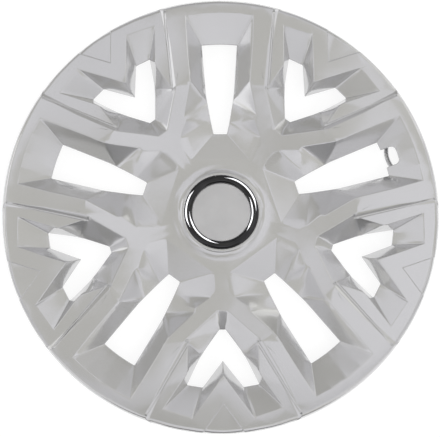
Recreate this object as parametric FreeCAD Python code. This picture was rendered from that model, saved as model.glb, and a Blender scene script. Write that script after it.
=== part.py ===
import FreeCAD, Part
import math
import os

Vector = FreeCAD.Vector
UP = Vector(0, 0, 1)
CENTRE = Vector(0, 0, 0)

# Driving dimensions, in millimetres and degrees.
# The cover lies face up on the tips of its clip legs, with its axis on Z.

# Overall
OUTER_RADIUS = 200.0        # outer edge of the rim
SEAT_HEIGHT = 18.0          # rim's back edge above the leg tips
SKIRT_HEIGHT = 10.0         # straight outer edge of the rim
WALL = 2.6                  # moulded wall
SPOKE_PAIRS = 5
FIRST_WINDOW_ANGLE = 18.0   # long window that holds the valve notch

# Face
RIM_BAND = 12.4             # band between the windows and the outer edge
RIM_LIP = 4.5               # rounded edge of the rim, seen from the front
FOLD_RADIUS = 124.0         # where the spokes bend down towards the hub
FOLD_RISE = 8.3             # fold above the top of the skirt
DOME_RADIUS = 900.0         # gentle crown of the face outside the fold
DOME_STEPS = 2              # turned facets that follow the crown
LIP_STEPS = 3
HUB_RADIUS = 56.0           # flat hub face
HUB_SINK = 3.3              # hub face below the top of the skirt

# Step between a spoke's ridge and the lower plate beside it
STEP = 2.2
STEP_RUN = 3.4
GROOVE_WIDTH = 1.8
GROOVE_DEPTH = 1.0
GROOVE_TIP_ANGLE = 14.95    # from the axis of the forked window
GROOVE_END_ANGLE = 21.3

# Windows
END_WALL_RUN = 27.5         # sloped outer end wall, seen from the front
HOLE_DROP = 3.7             # edge of the openings below the hub face
RETURN_WALL = 2.0           # window walls, sideways and downwards
PANEL_RUN = 15.0            # sunk triangle on each tongue, inside the window's outer edge
PANEL_ANGLE = 5.7           # its half width at the rim
PANEL_DEPTH = 0.6
BRIM_STRETCH = 1.15         # window walls run on past the face, so that the face trims them
NOTCH_WIDTH = 17.0          # valve notch
NOTCH_DEPTH = 12.5
NOTCH_CORNER = 4.5

# Hub recess with its ring and disc
RING_RADIUS = 34.0
RING_WIDTH = 6.9
RING_CROWN = 2.6            # ring above the lip of its recess
RING_STEPS = 8
RECESS_DEPTH = 3.0
RECESS_LIP = 2.4            # flat lip round the recess
BOSS_RISE = 2.5
BOSS_FOOT = 9.5             # hollow flank of the boss, seen from the front
BOSS_STEPS = 3
DISC_THICKNESS = 2.0
DISC_BEVEL = 0.4
HUB_FIT = 0.1               # clearance of the pieces in the hub

# Clip legs and their spring wire
LEG_ANGLE = 21.6            # legs stand behind the ridges, to both sides of a forked window's axis
LEG_SETBACK = 12.0          # legs' outer face inside the outer edge
LEG_THICKNESS = 3.0
LEG_WIDTH = 20.0
BARB = 1.6                  # tooth on the legs' outer face
BARB_HEIGHT = 9.0
BARB_PEAK = 6.0
HOOK_THICKNESS = 2.2        # hook under the wire
NIB_HEIGHT = 1.3
NIB_THICKNESS = 1.3
RIB_THICKNESS = 2.4         # two ribs behind each leg, which end above the wire
RIB_ROOT = 9.0
WIRE_DIAMETER = 4.0
WIRE_SIDES = 8
WIRE_HEIGHT = 5.5           # wire's centre above the leg tips
WIRE_FIT = 0.15
VALVE_BEND = 16.0           # wire's reach inwards at the valve
VALVE_BEND_RADIUS = 24.0
VALVE_BEND_FILLET = 12.0

# Levels and radii that follow from them
SKIRT_TOP = SEAT_HEIGHT + SKIRT_HEIGHT
FOLD_TOP = SKIRT_TOP + FOLD_RISE
HUB_TOP = SKIRT_TOP - HUB_SINK
BOSS_TOP = HUB_TOP + BOSS_RISE
RECESS_FLOOR = BOSS_TOP - RECESS_DEPTH
HOLE_LEVEL = HUB_TOP - HOLE_DROP
CLEAR_TOP = FOLD_TOP + 2 * WALL
CLEAR_BOTTOM = -2 * WALL
CLEAR_RADIUS = OUTER_RADIUS + 2 * WALL
WINDOW_RADIUS = OUTER_RADIUS - RIM_BAND
HOLE_RADIUS = WINDOW_RADIUS - END_WALL_RUN
LIP_RADIUS = OUTER_RADIUS - RIM_LIP
LEG_RADIUS = OUTER_RADIUS - LEG_SETBACK
LEG_INNER_RADIUS = LEG_RADIUS - LEG_THICKNESS
WIRE_REACH = WIRE_DIAMETER / 2 + WIRE_FIT
WIRE_RADIUS = LEG_INNER_RADIUS - WIRE_REACH
PITCH = 360.0 / SPOKE_PAIRS
FIRST_FORK_ANGLE = FIRST_WINDOW_ANGLE + PITCH / 2


def hub_to_fold(share):
    return HUB_RADIUS + (FOLD_RADIUS - HUB_RADIUS) * share


def fold_to_window(share):
    return FOLD_RADIUS + (WINDOW_RADIUS - FOLD_RADIUS) * share


def fold_to_hole(share):
    return FOLD_RADIUS + (HOLE_RADIUS - FOLD_RADIUS) * share


# Half outlines of the long and the forked window, as radius and angle from the window's axis.
# Each point of a face outline has its partner in the outline of the opening below it.
GROOVE_TIP_RADIUS = hub_to_fold(0.972)
LONG_FACE = [
    (HUB_RADIUS, 27.9),
    (hub_to_fold(0.34), 28.1),
    (hub_to_fold(0.57), 20.8),
    (FOLD_RADIUS, 12.95),
    (WINDOW_RADIUS, 9.82),
    (WINDOW_RADIUS, 4.91),
    (WINDOW_RADIUS, 0.0),
]
LONG_HOLE = [
    (hub_to_fold(0.27), 4.74),
    (hub_to_fold(0.45), 5.8),
    (hub_to_fold(0.79), 6.6),
    (hub_to_fold(0.835), 6.6),
    (HOLE_RADIUS, 5.92),
    (HOLE_RADIUS, 2.96),
    (HOLE_RADIUS, 0.0),
]
FORK_FACE = [
    (hub_to_fold(0.506), 3.0),
    (GROOVE_TIP_RADIUS, GROOVE_TIP_ANGLE),
    (fold_to_window(0.426), 12.75),
    (fold_to_window(0.97), 17.05),
    (WINDOW_RADIUS, 8.39),
    (fold_to_window(0.39), 0.0),
]
FORK_HOLE = [
    (hub_to_fold(0.757), 1.55),
    (fold_to_hole(0.213), 8.56),
    (fold_to_hole(0.74), 10.86),
    (HOLE_RADIUS, 11.75),
    (HOLE_RADIUS, 6.69),
    (fold_to_hole(0.316), 0.0),
]


# Heights of the face

def ridge_height(radius):
    """Level of the hub, the necks and the spokes' ridges."""
    if radius < HUB_RADIUS:
        return HUB_TOP
    if radius < FOLD_RADIUS:
        share = (radius - HUB_RADIUS) / (FOLD_RADIUS - HUB_RADIUS)
        return HUB_TOP + (FOLD_TOP - HUB_TOP) * share
    return FOLD_TOP - DOME_RADIUS + math.sqrt(DOME_RADIUS ** 2 - (radius - FOLD_RADIUS) ** 2)


def fork_height(radius):
    """Level along the edge of a forked window, which lies a step lower outside the groove's tip."""
    if radius < GROOVE_TIP_RADIUS:
        return ridge_height(radius)
    return ridge_height(radius) - STEP


# Shared operations

def polar(radius, angle):
    turn = math.radians(angle)
    return (radius * math.cos(turn), radius * math.sin(turn))


def turned(shape, angle):
    copy = shape.copy()
    copy.rotate(CENTRE, UP, angle)
    return copy


def lowered(shape, depth):
    copy = shape.copy()
    copy.translate(Vector(0, 0, -depth))
    return copy


def around(shape, first_angle):
    return [turned(shape, first_angle + PITCH * step) for step in range(SPOKE_PAIRS)]


def spun(points, angle=360.0):
    """Solid turned from radius and height points, or a sector of one with its middle on +X."""
    corners = [Vector(radius, 0, height) for radius, height in points]
    return turned(flat(corners).revolve(CENTRE, UP, angle), -angle / 2)


def rounded(start, end, steps):
    """Points of a quarter round that leaves the start level and reaches the end upright."""
    points = []
    for step in range(steps + 1):
        turn = math.radians(90.0 * step / steps)
        points.append((
            start[0] + (end[0] - start[0]) * math.sin(turn),
            end[1] + (start[1] - end[1]) * math.cos(turn),
        ))
    return points


def flat(corners):
    return Part.Face(Part.makePolygon(corners + corners[:1]))


def stacked(outlines):
    """Solid through outlines of as many corners each, with every side facet flat."""
    faces = [flat(outlines[0]), flat(outlines[-1])]
    for low, high in zip(outlines, outlines[1:]):
        for corner in range(len(low)):
            a, b = low[corner - 1], low[corner]
            d, c = high[corner - 1], high[corner]
            if (c - a).Length < (d - b).Length:
                faces += [flat([a, b, c]), flat([a, c, d])]
            else:
                faces += [flat([a, b, d]), flat([b, c, d])]
    solid = Part.Solid(Part.Shell(faces))
    return solid if solid.Volume > 0 else solid.reversed()


def at_height(points, height):
    return [Vector(x, y, height) for x, y in points]


def prism(points, bottom, top):
    return flat(at_height(points, bottom)).extrude(UP * (top - bottom))


def grown(points, distance):
    """Anticlockwise outline with every side moved outwards."""
    moved = []
    for before, corner, after in zip(points[-1:] + points[:-1], points, points[1:] + points[:1]):
        arrive = Vector(corner[1] - before[1], before[0] - corner[0], 0).normalize()
        leave = Vector(after[1] - corner[1], corner[0] - after[0], 0).normalize()
        shift = (arrive + leave) * (distance / (1 + arrive.dot(leave)))
        moved.append((corner[0] + shift.x, corner[1] + shift.y))
    return moved


def mirrored(half):
    """Whole anticlockwise outline from its half on the positive side of the axis."""
    upper = [polar(radius, angle) for radius, angle in half]
    lower = [(x, -y) for x, y in upper if y > 0]
    return lower + upper[::-1]


# Face

def face_profile(drop):
    """Points of the face from the fold over the lip to the skirt, lowered by a drop inside the lip."""
    dome = []
    for step in range(DOME_STEPS):
        radius = FOLD_RADIUS + (LIP_RADIUS - FOLD_RADIUS) * step / DOME_STEPS
        dome.append((radius, ridge_height(radius) - drop))
    lip = rounded((LIP_RADIUS, ridge_height(LIP_RADIUS) - drop), (OUTER_RADIUS, SKIRT_TOP), LIP_STEPS)
    return dome + lip


def front_blank():
    """Everything under the ridges' level of the face, with the hub's boss and recess."""
    recess_radius = RING_RADIUS + HUB_FIT
    lip_radius = recess_radius + RECESS_LIP
    flank = rounded((lip_radius + BOSS_FOOT, HUB_TOP), (lip_radius, BOSS_TOP), BOSS_STEPS)
    hub = [(0, RECESS_FLOOR), (recess_radius, RECESS_FLOOR), (recess_radius, BOSS_TOP)]
    outer = [(HUB_RADIUS, HUB_TOP)] + face_profile(0)
    return spun(hub + flank[::-1] + outer + [(OUTER_RADIUS, SEAT_HEIGHT), (0, SEAT_HEIGHT)])


def back_blank():
    """The hollow behind the face, one wall below the ridges' level."""
    inner_radius = OUTER_RADIUS - WALL
    inner_lip = LIP_RADIUS - WALL
    return spun([
        (0, CLEAR_BOTTOM),
        (inner_radius, CLEAR_BOTTOM),
        (inner_radius, SKIRT_TOP - WALL),
        (inner_lip, ridge_height(inner_lip) - WALL),
        (FOLD_RADIUS, FOLD_TOP - WALL),
        (HUB_RADIUS, RECESS_FLOOR - WALL),
        (0, RECESS_FLOOR - WALL),
    ])


def under_plates():
    """Everything under the level of the lower plates, from inside the fold to past the edge."""
    inner_radius = hub_to_fold(0.5)
    outer = [(CLEAR_RADIUS, SKIRT_TOP), (CLEAR_RADIUS, CLEAR_BOTTOM), (inner_radius, CLEAR_BOTTOM)]
    return spun([(inner_radius, FOLD_TOP - STEP)] + face_profile(STEP) + outer)


def groove_side(radial, offset):
    """Distance from the fork's axis to the groove's line, moved outwards by an offset."""
    tip = polar(GROOVE_TIP_RADIUS, GROOVE_TIP_ANGLE)
    end = polar(OUTER_RADIUS, GROOVE_END_ANGLE)
    slope = (end[1] - tip[1]) / (end[0] - tip[0])
    return tip[1] + (radial - tip[0]) * slope + offset * math.hypot(1, slope)


def fork_field(offset):
    """Field between the two grooves of a fork, from their tips to past the edge."""
    inner = polar(GROOVE_TIP_RADIUS, GROOVE_TIP_ANGLE)[0]
    return [
        (inner, -groove_side(inner, offset)),
        (CLEAR_RADIUS, -groove_side(CLEAR_RADIUS, offset)),
        (CLEAR_RADIUS, groove_side(CLEAR_RADIUS, offset)),
        (inner, groove_side(inner, offset)),
    ]


def plate_step(plates):
    """Cut that lowers the field between two grooves and slopes the ridges' sides."""
    level = FOLD_TOP - STEP
    reach = CLEAR_TOP - level
    spread = reach * STEP_RUN / STEP
    low = at_height(fork_field(-spread), level - reach)
    high = at_height(fork_field(spread), level + reach)
    return stacked([low, high]).cut(plates)


def groove_pair(plates):
    field = prism(fork_field(0), SEAT_HEIGHT, CLEAR_TOP)
    middle = prism(fork_field(-GROOVE_WIDTH), SEAT_HEIGHT, CLEAR_TOP)
    groove = field.cut([middle, lowered(plates, GROOVE_DEPTH)])
    return groove.common(Part.makeCylinder(LIP_RADIUS, CLEAR_TOP))


def tongue_panel(plates):
    apex = WINDOW_RADIUS - PANEL_RUN
    slope = OUTER_RADIUS * math.tan(math.radians(PANEL_ANGLE)) / (OUTER_RADIUS - apex)
    side = (CLEAR_RADIUS - apex) * slope
    triangle = [(apex, 0), (CLEAR_RADIUS, -side), (CLEAR_RADIUS, side)]
    return prism(triangle, SEAT_HEIGHT, CLEAR_TOP).cut(lowered(plates, PANEL_DEPTH))


# Windows

def window_body(face_half, hole_half, height_at, wall):
    """Body inside a window's sloped walls, from below its opening to above the face.

    With a wall given, the body is larger and lower by it, so the walls lie between the two bodies.
    """
    face = mirrored(face_half)
    wide_face = grown(face, wall)
    wide_hole = grown(mirrored(hole_half), wall)
    edge = at_height(wide_hole, HOLE_LEVEL - wall)
    brim = []
    for corner, low, place in zip(wide_face, edge, face):
        high = Vector(corner[0], corner[1], height_at(math.hypot(*place)) - wall)
        brim.append(low + (high - low) * BRIM_STRETCH)
    top = [Vector(corner.x, corner.y, CLEAR_TOP) for corner in brim]
    if wall:
        return stacked([edge, brim, top])
    return stacked([at_height(wide_hole, CLEAR_BOTTOM), edge, brim, top])


def valve_notch():
    """Rounded notch through the outer end wall of one long window."""
    half = NOTCH_WIDTH / 2
    end = HOLE_RADIUS + NOTCH_DEPTH
    block = prism(
        [(HOLE_RADIUS - NOTCH_DEPTH, -half), (end, -half), (end, half), (HOLE_RADIUS - NOTCH_DEPTH, half)],
        CLEAR_BOTTOM,
        CLEAR_TOP,
    )
    outer_corners = [
        edge for edge in block.Edges
        if edge.BoundBox.ZLength > WALL and edge.CenterOfMass.x > HOLE_RADIUS
    ]
    return block.makeFillet(NOTCH_CORNER, outer_corners)


# Clip legs

def clip_leg():
    """Leg with an outer barb, a hook under the wire and two ribs that stop above it."""
    hook_top = WIRE_HEIGHT - WIRE_REACH
    nib_outer = WIRE_RADIUS - WIRE_REACH
    nib_inner = nib_outer - NIB_THICKNESS
    leg = spun([
        (LEG_RADIUS, CLEAR_TOP),
        (LEG_RADIUS, BARB_HEIGHT),
        (LEG_RADIUS + BARB, BARB_PEAK),
        (LEG_RADIUS, 0),
        (LEG_INNER_RADIUS, 0),
        (nib_inner, hook_top - HOOK_THICKNESS),
        (nib_inner, hook_top + NIB_HEIGHT),
        (nib_outer, hook_top + NIB_HEIGHT),
        (nib_outer, hook_top),
        (LEG_INNER_RADIUS, hook_top),
        (LEG_INNER_RADIUS, CLEAR_TOP),
    ], math.degrees(LEG_WIDTH / LEG_RADIUS))
    rib = spun([
        (LEG_RADIUS - LEG_THICKNESS / 2, WIRE_HEIGHT + WIRE_REACH),
        (WIRE_RADIUS, WIRE_HEIGHT + WIRE_REACH),
        (LEG_INNER_RADIUS - RIB_ROOT, CLEAR_TOP),
        (LEG_RADIUS - LEG_THICKNESS / 2, CLEAR_TOP),
    ], math.degrees(RIB_THICKNESS / LEG_INNER_RADIUS))
    rib_angle = math.degrees((LEG_WIDTH / 2 - RIB_THICKNESS) / LEG_RADIUS)
    return leg.fuse([turned(rib, -rib_angle), turned(rib, rib_angle)])


# Pieces

def cover():
    plates = under_plates()
    steps = around(plate_step(plates), FIRST_FORK_ANGLE)
    grooves = around(groove_pair(plates), FIRST_FORK_ANGLE)
    panels = around(tongue_panel(plates), FIRST_FORK_ANGLE)
    front = front_blank().cut(steps + grooves + panels)
    hollow = back_blank().cut([lowered(step, WALL) for step in steps])
    returns = around(window_body(LONG_FACE, LONG_HOLE, ridge_height, RETURN_WALL), FIRST_WINDOW_ANGLE)
    returns += around(window_body(FORK_FACE, FORK_HOLE, fork_height, RETURN_WALL), FIRST_FORK_ANGLE)
    shell = front.cut(hollow.cut(returns))
    leg_space = lowered(hollow, -WALL / 4)
    leg = clip_leg()
    legs = around(leg, FIRST_FORK_ANGLE - LEG_ANGLE) + around(leg, FIRST_FORK_ANGLE + LEG_ANGLE)
    legs = [leg.common(leg_space) for leg in legs]
    windows = around(window_body(LONG_FACE, LONG_HOLE, ridge_height, 0), FIRST_WINDOW_ANGLE)
    windows += around(window_body(FORK_FACE, FORK_HOLE, fork_height, 0), FIRST_FORK_ANGLE)
    notch = turned(valve_notch(), FIRST_WINDOW_ANGLE)
    return shell.fuse(legs).cut(windows + [notch]).removeSplitter()


def trim_ring():
    """Ring with a rounded crown over an upright foot."""
    inner_radius = RING_RADIUS - RING_WIDTH
    crown = []
    for step in range(RING_STEPS + 1):
        turn = math.radians(180.0 * step / RING_STEPS)
        crown.append((
            RING_RADIUS - RING_WIDTH / 2 * (1 - math.cos(turn)),
            BOSS_TOP + RING_CROWN * math.sin(turn),
        ))
    return spun([(inner_radius, RECESS_FLOOR), (RING_RADIUS, RECESS_FLOOR)] + crown)


def centre_disc():
    radius = RING_RADIUS - RING_WIDTH - HUB_FIT
    top = RECESS_FLOOR + DISC_THICKNESS
    return spun([
        (0, RECESS_FLOOR),
        (radius, RECESS_FLOOR),
        (radius, top - DISC_BEVEL),
        (radius - DISC_BEVEL, top),
        (0, top),
    ])


def bent_wire(centre, start, angle):
    """Length of wire from a start point, turned about a centre."""
    across = (start - centre).normalize()
    corner_reach = WIRE_DIAMETER / 2 / math.cos(math.pi / WIRE_SIDES)
    corners = []
    for side in range(WIRE_SIDES):
        turn = 2 * math.pi * (side + 0.5) / WIRE_SIDES
        corners.append(start + (across * math.cos(turn) + UP * math.sin(turn)) * corner_reach)
    return flat(corners).revolve(centre, UP, angle)


def retaining_wire():
    """Wire ring held in the legs' hooks, with a bend inwards that clears the valve."""
    lift = UP * WIRE_HEIGHT
    bend_centre = Vector(WIRE_RADIUS - VALVE_BEND + VALVE_BEND_RADIUS, 0, WIRE_HEIGHT)
    fillet_reach = WIRE_RADIUS - VALVE_BEND_FILLET
    joined = VALVE_BEND_RADIUS + VALVE_BEND_FILLET
    turn = math.acos(
        (fillet_reach ** 2 + bend_centre.x ** 2 - joined ** 2) / (2 * fillet_reach * bend_centre.x)
    )
    outwards = Vector(math.cos(turn), math.sin(turn), 0)
    fillet_centre = outwards * fillet_reach + lift
    inwards = (bend_centre - fillet_centre).normalize()
    fillet_turn = math.degrees(outwards.getAngle(inwards))
    bend_turn = math.degrees(inwards.getAngle(Vector(1, 0, 0)))
    ring = bent_wire(lift, outwards * WIRE_RADIUS + lift, 360.0 - 2 * math.degrees(turn))
    fillet = bent_wire(fillet_centre, outwards * WIRE_RADIUS + lift, -fillet_turn)
    bend = bent_wire(bend_centre, bend_centre - inwards * VALVE_BEND_RADIUS, 2 * bend_turn)
    mirror = fillet.mirror(CENTRE, Vector(0, 1, 0))
    return turned(ring.fuse([fillet, bend, mirror]), FIRST_WINDOW_ANGLE)


PIECES = {
    "cover": cover,
    "trim_ring": trim_ring,
    "centre_disc": centre_disc,
    "retaining_wire": retaining_wire,
}

os.makedirs("parts", exist_ok=True)
for node, build in PIECES.items():
    build().exportStep("parts/" + node + ".step")
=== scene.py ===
import math
import bmesh
import bpy
from mathutils import Matrix, Vector
from mathutils.bvhtree import BVHTree


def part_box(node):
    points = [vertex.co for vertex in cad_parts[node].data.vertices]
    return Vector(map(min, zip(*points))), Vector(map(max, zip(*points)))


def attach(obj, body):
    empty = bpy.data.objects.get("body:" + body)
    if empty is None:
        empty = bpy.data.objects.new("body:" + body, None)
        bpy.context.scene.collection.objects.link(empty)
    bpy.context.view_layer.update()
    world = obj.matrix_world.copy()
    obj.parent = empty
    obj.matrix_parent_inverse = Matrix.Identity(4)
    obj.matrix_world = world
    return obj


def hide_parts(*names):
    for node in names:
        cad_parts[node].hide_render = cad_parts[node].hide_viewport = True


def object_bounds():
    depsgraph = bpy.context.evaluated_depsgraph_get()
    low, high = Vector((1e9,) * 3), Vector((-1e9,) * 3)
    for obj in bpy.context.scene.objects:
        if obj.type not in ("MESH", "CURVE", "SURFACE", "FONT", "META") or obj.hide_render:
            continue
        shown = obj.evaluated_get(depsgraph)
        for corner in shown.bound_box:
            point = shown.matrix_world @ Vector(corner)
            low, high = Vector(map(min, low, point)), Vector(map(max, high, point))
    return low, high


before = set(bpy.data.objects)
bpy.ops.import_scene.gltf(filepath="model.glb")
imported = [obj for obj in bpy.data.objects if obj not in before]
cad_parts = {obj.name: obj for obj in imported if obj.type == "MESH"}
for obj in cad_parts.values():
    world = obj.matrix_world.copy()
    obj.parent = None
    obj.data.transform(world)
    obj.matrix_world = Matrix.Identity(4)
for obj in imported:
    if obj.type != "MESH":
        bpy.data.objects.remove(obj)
cad_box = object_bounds()

# Sizes in metres, angles in degrees
MM = 0.001
OUTER_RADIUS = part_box("cover")[1].x
SEAT_HEIGHT = 18 * MM                   # back edge of the rim
HOLE_LEVEL = 21 * MM                    # edge of the window openings
FRONT_LEVEL = SEAT_HEIGHT + 0.5 * MM    # painted faces lie above this
FRONT_LOOK = -0.1                       # least upward part of a painted face's normal
CLOSE = 0.03 * MM                       # lengths that differ by less are taken as equal
WELD_DISTANCE = 0.02 * MM               # corners nearer than this are joined
THIN = 0.01 * MM                        # faces thinner than this are closed up
FLAT_ANGLE = 0.4                        # facets that turn by less are one flat face
DOWN = Vector((0, 0, -1))

# Softened edges and eased window walls
EDGE_ROUND = 0.6 * MM
ROUND_SEGMENTS = 2
ROUND_PROFILE = 0.5                     # round section
STRAY = EDGE_ROUND / 2                  # corners farther than this from the surface are brought back to it
SCOOP_CUTS = 4                          # finer net on the window walls
SCOOP_PASSES = 40                       # easing of the net between the walls' edges
SCOOP_EASE = 0.5                        # share of the way that one pass moves a corner
FACE_CREASE = 5.0                       # least turn of an edge between the face and a wall
WALL_CREASE = 34.0                      # least turn of an edge inside a window wall; less is a smooth scoop
TURNED_CREASE = 35.0                    # least turn of an edge round the axis; less is a rounded form
TURNED_LENGTH = 12 * MM                 # longest edge of a form turned about the axis
ARM_START = 58 * MM                     # the hub's arms blend smoothly into the scoops beside them
ARM_END = 80 * MM
FACET_WEIGHT = 80                       # over 50, large facets keep flat shading beside their softened edges

# Groove beds
GROOVE_TIP = (122.1 * MM, 14.95)        # reach from the wheel's axis, and angle from the fork's axis
GROOVE_END = (OUTER_RADIUS, 21.3)
GROOVE_WIDTH = 1.8 * MM
GROOVE_LIMIT = 195.4 * MM               # grooves end at the rim's lip
GROOVE_FADE = 12 * MM                   # stretch in which a groove runs out
GROOVE_DIP = 0.55 * MM                  # hollow of a groove's bed, below its rounded edges
BED_STEPS = 30
BED_POINTS = 7
BED_THICKNESS = 1.0 * MM
BED_HOLD = 0.25 * MM                    # how far a bed reaches into the walls beside it
FORKS = 5
FIRST_FORK = 54.0                       # angle of the first fork's axis

# Ring and disc
RING_WIDTH = 6.9 * MM
RING_CROWN = 2.6 * MM                   # height of the ring's rounded top
DISC_EDGE = 0.5 * MM                    # radius of the disc's rounded edge
TURN_STEPS = 180
CROWN_STEPS = 28
DISC_EDGE_STEPS = 6

# Camera, from the ellipse of the outer edge and the places of the windows
IMAGE_WIDTH = 440
IMAGE_HEIGHT = 437
FOCAL_PIXELS = 1000.0
CAMERA_DISTANCE = 0.9147
LEAN_UP = 7.11                          # wheel axis leans towards the top of the picture
LEAN_RIGHT = 1.06
ROLL = 0.57
CENTRE_PIXEL = (221.4, 211.5)
CENTRE_HEIGHT = 30 * MM
SENSOR_WIDTH = 36.0                     # in millimetres, as the lens is

# Noise values between these are drawn out to the range that a material asks for
NOISE_LOW = 0.35
NOISE_HIGH = 0.65

# Floor, and a cloth tent with levels of light by place, from -1 to 1 across the room
FLOOR_REACH = 12.0
FLOOR_GLOW = 0.86
FLOOR_GREY = (0.25, 0.25, 0.25, 1)
TENT_TINT = (0.975, 0.97, 1.0)          # cool white cloth
TENT_ALONG = (
    (-1.0, 0.1), (-0.86, 0.25), (-0.7, 0.95), (-0.45, 0.85), (-0.25, 0.66), (-0.05, 0.84),
    (0.12, 0.86), (0.45, 0.84), (0.66, 0.62), (0.8, 0.52), (1.0, 0.52),
)
TENT_ACROSS = ((-1.0, 0.85), (-0.45, 0.96), (-0.13, 0.88), (0.05, 0.93), (0.42, 1.0), (1.0, 0.9))
FOLD_SCALE = 2.6
FOLD_DETAIL = 2.0
FOLD_EDGE = (0.46, 0.485)               # noise values over which a fold passes into plain cloth
FOLD_COLOUR = (0.715, 0.71, 0.64, 1)    # greener, darker cloth in the folds

# Lamps, with powers in watts
SOFT_LIGHT_PLACE = (0.4, -0.5, 1.6)
SOFT_LIGHT_SIZE = (1.2, 1.2)
SOFT_LIGHT_POWER = 7.0
STRIP_PLACES = {"left strip": (-1.2, 0.25, 0.6), "far strip": (0.9, 0.8, 0.6)}
STRIP_SIZE = (0.7, 0.5)
STRIP_POWER = 0.5
HIGHLIGHT_PLACES = {"left highlight": (-0.9, 0.25, 0.7), "far highlight": (0.6, 0.65, 0.7)}
HIGHLIGHT_SIZE = (0.9, 0.9)
HIGHLIGHT_POWER = 70.0


# Meshes

def add_object(name, mesh):
    piece = bpy.data.objects.new(name, mesh)
    bpy.context.scene.collection.objects.link(piece)
    return piece


def node_solid(node, name):
    """Copy of a node's mesh under a new name and without materials, and the same as a welded solid."""
    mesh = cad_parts[node].data.copy()
    mesh.name = name
    mesh.materials.clear()
    solid = bmesh.new()
    solid.from_mesh(mesh)
    bmesh.ops.remove_doubles(solid, verts=solid.verts, dist=WELD_DISTANCE)
    return mesh, solid


def smooth_piece(mesh, solid):
    """Adds a solid to the scene with smooth faces, without the normals that were stored with its mesh."""
    for face in solid.faces:
        face.smooth = True
    solid.to_mesh(mesh)
    solid.free()
    for name in ("custom_normal", "sharp_face", "sharp_edge"):
        if name in mesh.attributes:
            mesh.attributes.remove(mesh.attributes[name])
    return add_object(mesh.name, mesh)


def is_turned(edge):
    """True for a short edge that lies on a circle about the wheel's axis."""
    start, end = (vert.co for vert in edge.verts)
    same_reach = abs(start.xy.length - end.xy.length) < CLOSE
    return same_reach and abs(start.z - end.z) < CLOSE and edge.calc_length() < TURNED_LENGTH


def is_wall(face):
    """True for a face that goes down to the edge of a window."""
    return any(abs(vert.co.z - HOLE_LEVEL) < CLOSE for vert in face.verts)


def is_on_arm(edge):
    middle = (edge.verts[0].co + edge.verts[1].co) / 2
    above = all(vert.co.z > HOLE_LEVEL + CLOSE for vert in edge.verts)
    return above and ARM_START < middle.xy.length < ARM_END


def meets_hub(edge):
    return any(vert.co.xy.length < ARM_START for vert in edge.verts)


def is_crease(edge):
    in_wall = all(is_wall(face) for face in edge.link_faces)
    if is_turned(edge):
        limit = TURNED_CREASE
    elif is_on_arm(edge) or (in_wall and not meets_hub(edge)):
        limit = WALL_CREASE
    else:
        limit = FACE_CREASE
    return edge.calc_face_angle(0) > math.radians(limit)


def is_front(face):
    return face.normal.z > FRONT_LOOK and face.calc_center_median().z > FRONT_LEVEL


def softened_edges(solid, wall):
    """Rounds the creases, and brings corners that stray back to the surface."""
    surface = BVHTree.FromBMesh(solid)
    creases = [edge for edge in solid.edges if is_crease(edge)]
    rounds = bmesh.ops.bevel(
        solid, geom=creases, offset=EDGE_ROUND, offset_type="OFFSET",
        segments=ROUND_SEGMENTS, profile=ROUND_PROFILE, affect="EDGES",
    )
    for face in rounds["faces"]:
        face[wall] = 0
    for vert in solid.verts:
        nearest, _, _, distance = surface.find_nearest(vert.co)
        if distance > STRAY:
            vert.co = nearest


def eased_walls(solid, wall):
    """Puts a finer net on the window walls and eases it into smooth scoops between their creases."""
    bmesh.ops.triangulate(solid, faces=solid.faces)
    edges = list({edge for face in solid.faces if face[wall] for edge in face.edges})
    bmesh.ops.subdivide_edges(solid, edges=edges, cuts=SCOOP_CUTS, use_grid_fill=True)
    inside = [vert for vert in solid.verts if all(face[wall] for face in vert.link_faces)]
    for _ in range(SCOOP_PASSES):
        bmesh.ops.smooth_vert(
            solid, verts=inside, factor=SCOOP_EASE, use_axis_x=True, use_axis_y=True, use_axis_z=True,
        )


def moulded_cover():
    """The cover's own solid with its flat facets joined, its edges softened and its scoops eased."""
    mesh, solid = node_solid("cover", "moulded_cover")
    bmesh.ops.dissolve_limit(
        solid, angle_limit=math.radians(FLAT_ANGLE), verts=solid.verts, edges=solid.edges,
    )
    wall = solid.faces.layers.int.new("wall")
    for face in solid.faces:
        face[wall] = is_wall(face) and is_front(face)
    softened_edges(solid, wall)
    eased_walls(solid, wall)
    bmesh.ops.dissolve_degenerate(solid, dist=THIN, edges=solid.edges)
    bmesh.ops.triangulate(solid, faces=solid.faces)
    solid.normal_update()
    for face in solid.faces:
        face.material_index = 0 if is_front(face) else 1
    piece = smooth_piece(mesh, solid)
    normals = piece.modifiers.new("facet normals", "WEIGHTED_NORMAL")
    normals.weight = FACET_WEIGHT
    return piece


def flat_point(reach, angle):
    turn = math.radians(angle)
    return Vector((reach * math.cos(turn), reach * math.sin(turn), 0))


def groove_section(surface, turn, side, share):
    """Top points across a groove's bed at a share of its length, between the levels beside it."""
    tip = flat_point(*GROOVE_TIP)
    end = flat_point(*GROOVE_END)
    along = (end - tip).normalized()
    across = Vector((along.y, -along.x, 0))
    length = (end - tip).length * (GROOVE_LIMIT - tip.length) / (end.length - tip.length)
    edge = tip + along * length * share
    fade = min(1.0, length * (1 - share) / GROOVE_FADE)
    corners = []
    for offset in (-BED_HOLD, GROOVE_WIDTH + BED_HOLD):
        place = edge + across * offset
        above = turn @ Vector((place.x, side * place.y, cad_box[1].z + MM))
        corners.append(surface.ray_cast(above, DOWN)[0])
    points = []
    for step in range(BED_POINTS):
        part = step / (BED_POINTS - 1)
        point = corners[0].lerp(corners[1], part)
        point.z -= fade * (EDGE_ROUND + GROOVE_DIP * math.sin(math.pi * part))
        points.append(point)
    return points


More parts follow.
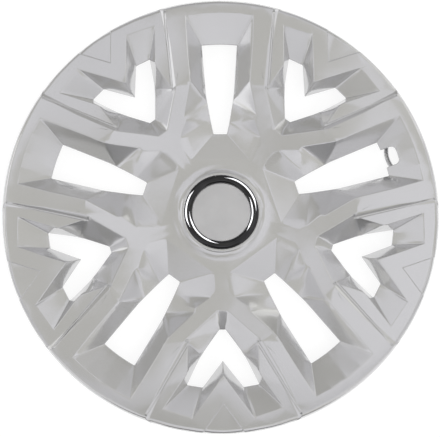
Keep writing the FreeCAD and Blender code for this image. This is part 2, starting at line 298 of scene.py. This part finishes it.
def add_bed(solid, surface, turn, side):
    """Closed strip with a hollow top, along the groove on one side of a fork."""
    rows = []
    for step in range(BED_STEPS + 1):
        points = groove_section(surface, turn, side, step / BED_STEPS)
        below = [point + DOWN * BED_THICKNESS for point in reversed(points)]
        rows.append([solid.verts.new(point) for point in points + below])
    for here, there in zip(rows, rows[1:]):
        for corner in range(len(here)):
            solid.faces.new((here[corner - 1], here[corner], there[corner], there[corner - 1]))
    solid.faces.new(rows[0])
    solid.faces.new(rows[-1][::-1])


def groove_beds():
    """Hollow beds that close the bottoms of the ten grooves beside the spokes' ridges."""
    cover_solid = bmesh.new()
    cover_solid.from_mesh(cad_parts["cover"].data)
    surface = BVHTree.FromBMesh(cover_solid)
    cover_solid.free()
    solid = bmesh.new()
    for fork in range(FORKS):
        turn = Matrix.Rotation(math.radians(FIRST_FORK + fork * 360 / FORKS), 3, "Z")
        for side in (-1, 1):
            add_bed(solid, surface, turn, side)
    bmesh.ops.recalc_face_normals(solid, faces=solid.faces)
    return smooth_piece(bpy.data.meshes.new("groove_beds"), solid)


def turned(name, profile, closed):
    """Smooth surface turned from radius and height points; a profile that isn't closed gets flat ends."""
    solid = bmesh.new()
    turns = [2 * math.pi * step / TURN_STEPS for step in range(TURN_STEPS)]
    rings = []
    for radius, height in profile:
        corners = [(radius * math.cos(turn), radius * math.sin(turn), height) for turn in turns]
        rings.append([solid.verts.new(corner) for corner in corners])
    pairs = list(zip(rings, rings[1:]))
    if closed:
        pairs.append((rings[-1], rings[0]))
    else:
        solid.faces.new(rings[0])
        solid.faces.new(rings[-1])
    for low, high in pairs:
        for step in range(TURN_STEPS):
            face = solid.faces.new((low[step - 1], low[step], high[step], high[step - 1]))
            face.smooth = True
    bmesh.ops.recalc_face_normals(solid, faces=solid.faces)
    mesh = bpy.data.meshes.new(name)
    solid.to_mesh(mesh)
    solid.free()
    return add_object(name, mesh)


def polished_ring():
    """Trim ring with a smooth rounded crown over its upright foot."""
    low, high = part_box("trim_ring")
    middle = high.x - RING_WIDTH / 2
    spring = high.z - RING_CROWN
    points = [(high.x, low.z)]
    for step in range(CROWN_STEPS + 1):
        turn = math.pi * step / CROWN_STEPS
        points.append((middle + RING_WIDTH / 2 * math.cos(turn), spring + RING_CROWN * math.sin(turn)))
    points.append((high.x - RING_WIDTH, low.z))
    return turned("polished_ring", points, closed=True)


def satin_disc():
    """Centre disc with a rounded edge."""
    low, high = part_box("centre_disc")
    points = [(high.x, low.z)]
    for step in range(DISC_EDGE_STEPS + 1):
        turn = math.pi / 2 * step / DISC_EDGE_STEPS
        points.append((
            high.x - DISC_EDGE * (1 - math.cos(turn)),
            high.z - DISC_EDGE * (1 - math.sin(turn)),
        ))
    return turned("satin_disc", points, closed=False)


def round_wire():
    """The retaining wire with its sides shaded round."""
    mesh, solid = node_solid("retaining_wire", "round_wire")
    return smooth_piece(mesh, solid)


# Materials

def new_material(name):
    """Material with its nodes and its principled shader."""
    material = bpy.data.materials.new(name)
    material.use_nodes = True
    return material, material.node_tree, material.node_tree.nodes["Principled BSDF"]


def noise(tree, scale, detail):
    place = tree.nodes.new("ShaderNodeTexCoord")
    texture = tree.nodes.new("ShaderNodeTexNoise")
    texture.inputs["Scale"].default_value = scale
    texture.inputs["Detail"].default_value = detail
    tree.links.new(place.outputs["Object"], texture.inputs["Vector"])
    return texture.outputs["Fac"]


def spread(tree, value, low, high):
    """Noise drawn out to run between a low and a high value."""
    node = tree.nodes.new("ShaderNodeMapRange")
    node.inputs["From Min"].default_value = NOISE_LOW
    node.inputs["From Max"].default_value = NOISE_HIGH
    node.inputs["To Min"].default_value = low
    node.inputs["To Max"].default_value = high
    tree.links.new(value, node.inputs["Value"])
    return node.outputs["Result"]


def tinted(tree, value, dark, light):
    """Noise drawn out to run between a dark and a light colour."""
    ramp = tree.nodes.new("ShaderNodeValToRGB")
    ends = ((NOISE_LOW, dark), (NOISE_HIGH, light))
    for element, (position, colour) in zip(ramp.color_ramp.elements, ends):
        element.position = position
        element.color = colour
    tree.links.new(value, ramp.inputs["Fac"])
    return ramp.outputs["Color"]


def fine_bump(tree, shader, value, height):
    bump = tree.nodes.new("ShaderNodeBump")
    bump.inputs["Distance"].default_value = height
    bump.inputs["Strength"].default_value = 1.0
    tree.links.new(value, bump.inputs["Height"])
    tree.links.new(bump.outputs["Normal"], shader.inputs["Normal"])


def silver_lacquer():
    """Glossy clear coat over fine silver flake."""
    material, tree, shader = new_material("silver_lacquer")
    flake = noise(tree, scale=5200, detail=1)
    cloud = noise(tree, scale=26, detail=3)
    colour = tinted(tree, flake, dark=(0.67, 0.67, 0.675, 1), light=(0.77, 0.77, 0.775, 1))
    tree.links.new(colour, shader.inputs["Base Color"])
    shader.inputs["Metallic"].default_value = 0.75
    tree.links.new(spread(tree, cloud, low=0.1, high=0.16), shader.inputs["Roughness"])
    shader.inputs["Coat Weight"].default_value = 0.6
    shader.inputs["Coat Roughness"].default_value = 0.02
    fine_bump(tree, shader, cloud, height=0.12 * MM)
    return material


def moulded_plastic():
    """Unpainted grey back of the moulding."""
    material, tree, shader = new_material("moulded_plastic")
    grain = noise(tree, scale=900, detail=4)
    cloud = noise(tree, scale=14, detail=3)
    colour = tinted(tree, cloud, dark=(0.2, 0.2, 0.205, 1), light=(0.27, 0.27, 0.275, 1))
    tree.links.new(colour, shader.inputs["Base Color"])
    tree.links.new(spread(tree, grain, low=0.42, high=0.6), shader.inputs["Roughness"])
    fine_bump(tree, shader, grain, height=0.03 * MM)
    return material


def mirror_chrome():
    """Chrome with a mirror polish, its colour darkened to near black as painted shade for the dark
    surroundings that it mirrors.
    """
    material, tree, shader = new_material("mirror_chrome")
    cloud = noise(tree, scale=60, detail=2)
    # painted shade: the chrome's colour is set near black to stand in for dark reflections
    colour = tinted(tree, cloud, dark=(0.05, 0.05, 0.052, 1), light=(0.07, 0.07, 0.072, 1))
    tree.links.new(colour, shader.inputs["Base Color"])
    shader.inputs["Metallic"].default_value = 1.0
    tree.links.new(spread(tree, cloud, low=0.025, high=0.05), shader.inputs["Roughness"])
    return material


def satin_silver():
    """Silver paint with a fine satin grain."""
    material, tree, shader = new_material("satin_silver")
    grain = noise(tree, scale=3000, detail=2)
    cloud = noise(tree, scale=40, detail=3)
    colour = tinted(tree, cloud, dark=(0.72, 0.72, 0.73, 1), light=(0.78, 0.78, 0.79, 1))
    tree.links.new(colour, shader.inputs["Base Color"])
    shader.inputs["Metallic"].default_value = 0.9
    tree.links.new(spread(tree, grain, low=0.32, high=0.44), shader.inputs["Roughness"])
    fine_bump(tree, shader, grain, height=0.01 * MM)
    return material


def bright_steel():
    """Drawn spring steel."""
    material, tree, shader = new_material("bright_steel")
    drawn = noise(tree, scale=700, detail=3)
    colour = tinted(tree, drawn, dark=(0.5, 0.5, 0.51, 1), light=(0.66, 0.66, 0.67, 1))
    tree.links.new(colour, shader.inputs["Base Color"])
    shader.inputs["Metallic"].default_value = 1.0
    tree.links.new(spread(tree, drawn, low=0.2, high=0.36), shader.inputs["Roughness"])
    return material


# Stage

def floor_material():
    """Near white floor that keeps a faint shadow and is clear from below."""
    material = bpy.data.materials.new("pale_floor")
    material.use_nodes = True
    tree = material.node_tree
    tree.nodes.clear()
    output = tree.nodes.new("ShaderNodeOutputMaterial")
    glow = tree.nodes.new("ShaderNodeEmission")
    glow.inputs["Strength"].default_value = FLOOR_GLOW
    paint = tree.nodes.new("ShaderNodeBsdfDiffuse")
    paint.inputs["Color"].default_value = FLOOR_GREY
    both = tree.nodes.new("ShaderNodeAddShader")
    tree.links.new(glow.outputs["Emission"], both.inputs[0])
    tree.links.new(paint.outputs["BSDF"], both.inputs[1])
    side = tree.nodes.new("ShaderNodeNewGeometry")
    clear = tree.nodes.new("ShaderNodeBsdfTransparent")
    mix = tree.nodes.new("ShaderNodeMixShader")
    tree.links.new(side.outputs["Backfacing"], mix.inputs["Fac"])
    tree.links.new(both.outputs["Shader"], mix.inputs[1])
    tree.links.new(clear.outputs["BSDF"], mix.inputs[2])
    tree.links.new(mix.outputs["Shader"], output.inputs["Surface"])
    return material


def pale_floor():
    mesh = bpy.data.meshes.new("floor")
    signs = ((-1, -1), (1, -1), (1, 1), (-1, 1))
    corners = [(x * FLOOR_REACH, y * FLOOR_REACH, 0) for x, y in signs]
    mesh.from_pydata(corners, [], [(0, 1, 2, 3)])
    floor = add_object("floor", mesh)
    mesh.materials.append(floor_material())


def levels(tree, value, stops, tint=(1, 1, 1)):
    """Levels of one tint along one direction of the room, from stops of place and level."""
    place = tree.nodes.new("ShaderNodeMapRange")
    place.inputs["From Min"].default_value = -1.0
    tree.links.new(value, place.inputs["Value"])
    ramp = tree.nodes.new("ShaderNodeValToRGB")
    ramp.color_ramp.interpolation = "EASE"
    elements = ramp.color_ramp.elements
    for _ in stops[len(elements):]:
        elements.new(1.0)
    for element, (where, level) in zip(elements, stops):
        element.position = (where + 1) / 2
        element.color = (level * tint[0], level * tint[1], level * tint[2], 1)
    tree.links.new(place.outputs["Result"], ramp.inputs["Fac"])
    return ramp.outputs["Color"]


def times(tree, first, second):
    node = tree.nodes.new("ShaderNodeVectorMath")
    node.operation = "MULTIPLY"
    tree.links.new(first, node.inputs[0])
    tree.links.new(second, node.inputs[1])
    return node.outputs["Vector"]


def tent_folds(tree, direction):
    """Folds in the tent's cloth, a little darker than the rest."""
    cloth = tree.nodes.new("ShaderNodeTexNoise")
    cloth.inputs["Scale"].default_value = FOLD_SCALE
    cloth.inputs["Detail"].default_value = FOLD_DETAIL
    tree.links.new(direction, cloth.inputs["Vector"])
    ramp = tree.nodes.new("ShaderNodeValToRGB")
    fold, plain = ramp.color_ramp.elements
    fold.position, plain.position = FOLD_EDGE
    fold.color = FOLD_COLOUR
    tree.links.new(cloth.outputs["Fac"], ramp.inputs["Fac"])
    return ramp.outputs["Color"]


def light_tent():
    """Pale cloth tent round the object, dark at its near end, dim at its far end and loosely folded."""
    world = bpy.data.worlds.new("light tent")
    bpy.context.scene.world = world
    world.use_nodes = True
    tree = world.node_tree
    place = tree.nodes.new("ShaderNodeTexCoord")
    direction = place.outputs["Generated"]
    axes = tree.nodes.new("ShaderNodeSeparateXYZ")
    tree.links.new(direction, axes.inputs["Vector"])
    along = levels(tree, axes.outputs["Y"], TENT_ALONG, tint=TENT_TINT)
    across = levels(tree, axes.outputs["X"], TENT_ACROSS)
    shade = times(tree, along, across)
    cloth = times(tree, shade, tent_folds(tree, direction))
    tree.links.new(cloth, tree.nodes["Background"].inputs["Color"])


def softbox(name, place, size, power, mirrored):
    """Rectangular lamp aimed at the middle of the floor, which glossy surfaces mirror only if asked."""
    light = bpy.data.lights.new(name, "AREA")
    light.shape = "RECTANGLE"
    light.size, light.size_y = size
    light.energy = power
    lamp = bpy.data.objects.new(name, light)
    lamp.location = place
    lamp.visible_glossy = mirrored
    lamp.rotation_euler = (-Vector(place)).to_track_quat("-Z", "Y").to_euler()
    bpy.context.scene.collection.objects.link(lamp)
    return lamp


def ring_highlight(name, place, ring):
    """Bright light that only the polished ring catches."""
    only = bpy.data.collections.new(name)
    only.objects.link(ring)
    lamp = softbox(name, place, HIGHLIGHT_SIZE, HIGHLIGHT_POWER, mirrored=True)
    lamp.light_linking.receiver_collection = only


def photo_camera():
    """Camera whose picture puts the wheel's axis and outer edge where the photograph has them."""
    lean = Vector((math.sin(math.radians(LEAN_RIGHT)), math.sin(math.radians(LEAN_UP)), 0))
    lean.z = math.sqrt(1 - lean.length_squared)
    turn = Vector((0, 0, 1)).rotation_difference(lean).to_matrix()
    turn = (turn @ Matrix.Rotation(math.radians(ROLL), 3, "Z")).transposed()
    seen = Vector((
        (CENTRE_PIXEL[0] - IMAGE_WIDTH / 2) / FOCAL_PIXELS * CAMERA_DISTANCE,
        (IMAGE_HEIGHT / 2 - CENTRE_PIXEL[1]) / FOCAL_PIXELS * CAMERA_DISTANCE,
        -CAMERA_DISTANCE,
    ))
    data = bpy.data.cameras.new("photo camera")
    data.sensor_fit = "HORIZONTAL"
    data.sensor_width = SENSOR_WIDTH
    data.lens = FOCAL_PIXELS / IMAGE_WIDTH * SENSOR_WIDTH
    camera = bpy.data.objects.new("photo camera", data)
    camera.matrix_world = Matrix.Translation(Vector((0, 0, CENTRE_HEIGHT)) - turn @ seen) @ turn.to_4x4()
    bpy.context.scene.collection.objects.link(camera)
    bpy.context.scene.camera = camera


# The object

def dress(piece, materials):
    """Gives a piece its materials and its body."""
    for material in materials:
        piece.data.materials.append(material)
    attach(piece, "root")


lacquer = silver_lacquer()
cover = moulded_cover()
dress(cover, [lacquer, moulded_plastic()])
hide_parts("cover")
dress(groove_beds(), [lacquer])
ring = polished_ring()
dress(ring, [mirror_chrome()])
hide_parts("trim_ring")
disc = satin_disc()
dress(disc, [satin_silver()])
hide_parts("centre_disc")
wire = round_wire()
dress(wire, [bright_steel()])
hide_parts("retaining_wire")

pale_floor()
light_tent()
softbox("soft light", SOFT_LIGHT_PLACE, SOFT_LIGHT_SIZE, SOFT_LIGHT_POWER, mirrored=False)
for strip_name, strip_place in STRIP_PLACES.items():
    softbox(strip_name, strip_place, STRIP_SIZE, STRIP_POWER, mirrored=True)
for highlight_name, highlight_place in HIGHLIGHT_PLACES.items():
    ring_highlight(highlight_name, highlight_place, ring)
photo_camera()
bpy.context.scene.view_settings.view_transform = "Standard"
